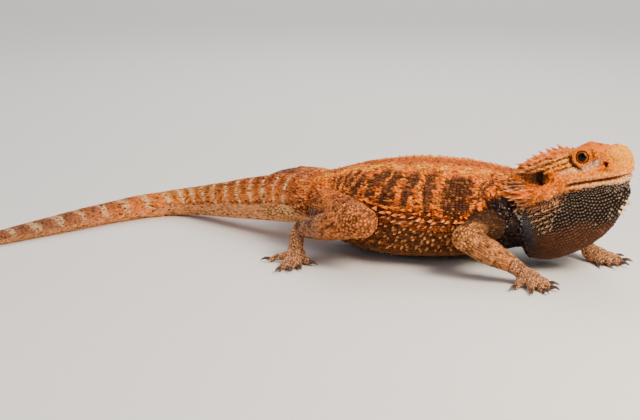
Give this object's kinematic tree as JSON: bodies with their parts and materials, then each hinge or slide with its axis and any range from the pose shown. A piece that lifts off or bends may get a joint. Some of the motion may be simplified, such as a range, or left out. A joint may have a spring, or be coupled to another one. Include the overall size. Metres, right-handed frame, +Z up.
{
  "type": "bearded dragon",
  "caption": "Bearded dragon at rest on a floor: wide flat trunk, raised triangular head with puffed beard, sprawled legs and long curving tail.",
  "frame": {"origin": "on the floor, under the middle of the trunk, on the flat that the belly rests on", "axes": "+X along the trunk towards the head, +Y to the animal's left, +Z up"},
  "size_m": [0.3877, 0.2115, 0.0703],
  "materials": {
    "skin": "dry orange-brown scaly skin",
    "beard_skin": "dry dark brown scaly skin",
    "eye": "wet gloss",
    "eardrum": "smooth dark membrane",
    "claw": "semi-gloss dark horn"
  },
  "bodies": {
    "root": {"head": "skin", "lower_jaw": "skin", "neck": "skin", "chest": "skin", "belly": "skin", "pelvis": "skin", "tail_1": "skin", "tail_2": "skin", "tail_3": "skin", "tail_4": "skin", "tail_5": "skin", "tail_6": "skin", "upper_arm_front_left": "skin", "forearm_front_left": "skin", "hand_front_left": "skin", "upper_arm_front_right": "skin", "forearm_front_right": "skin", "hand_front_right": "skin", "thigh_hind_left": "skin", "shank_hind_left": "skin", "foot_hind_left": "skin", "thigh_hind_right": "skin", "shank_hind_right": "skin", "foot_hind_right": "skin", "beard": "beard_skin", "eye_left": "eye", "eye_right": "eye", "eardrum_left": "eardrum", "eardrum_right": "eardrum", "claw_front_left_1": "claw", "claw_front_left_2": "claw", "claw_front_left_3": "claw", "claw_front_left_4": "claw", "claw_front_left_5": "claw", "claw_front_right_1": "claw", "claw_front_right_2": "claw", "claw_front_right_3": "claw", "claw_front_right_4": "claw", "claw_front_right_5": "claw", "claw_hind_left_1": "claw", "claw_hind_left_2": "claw", "claw_hind_left_3": "claw", "claw_hind_left_4": "claw", "claw_hind_left_5": "claw", "claw_hind_right_1": "claw", "claw_hind_right_2": "claw", "claw_hind_right_3": "claw", "claw_hind_right_4": "claw", "claw_hind_right_5": "claw"}
  },
  "joints": []
}
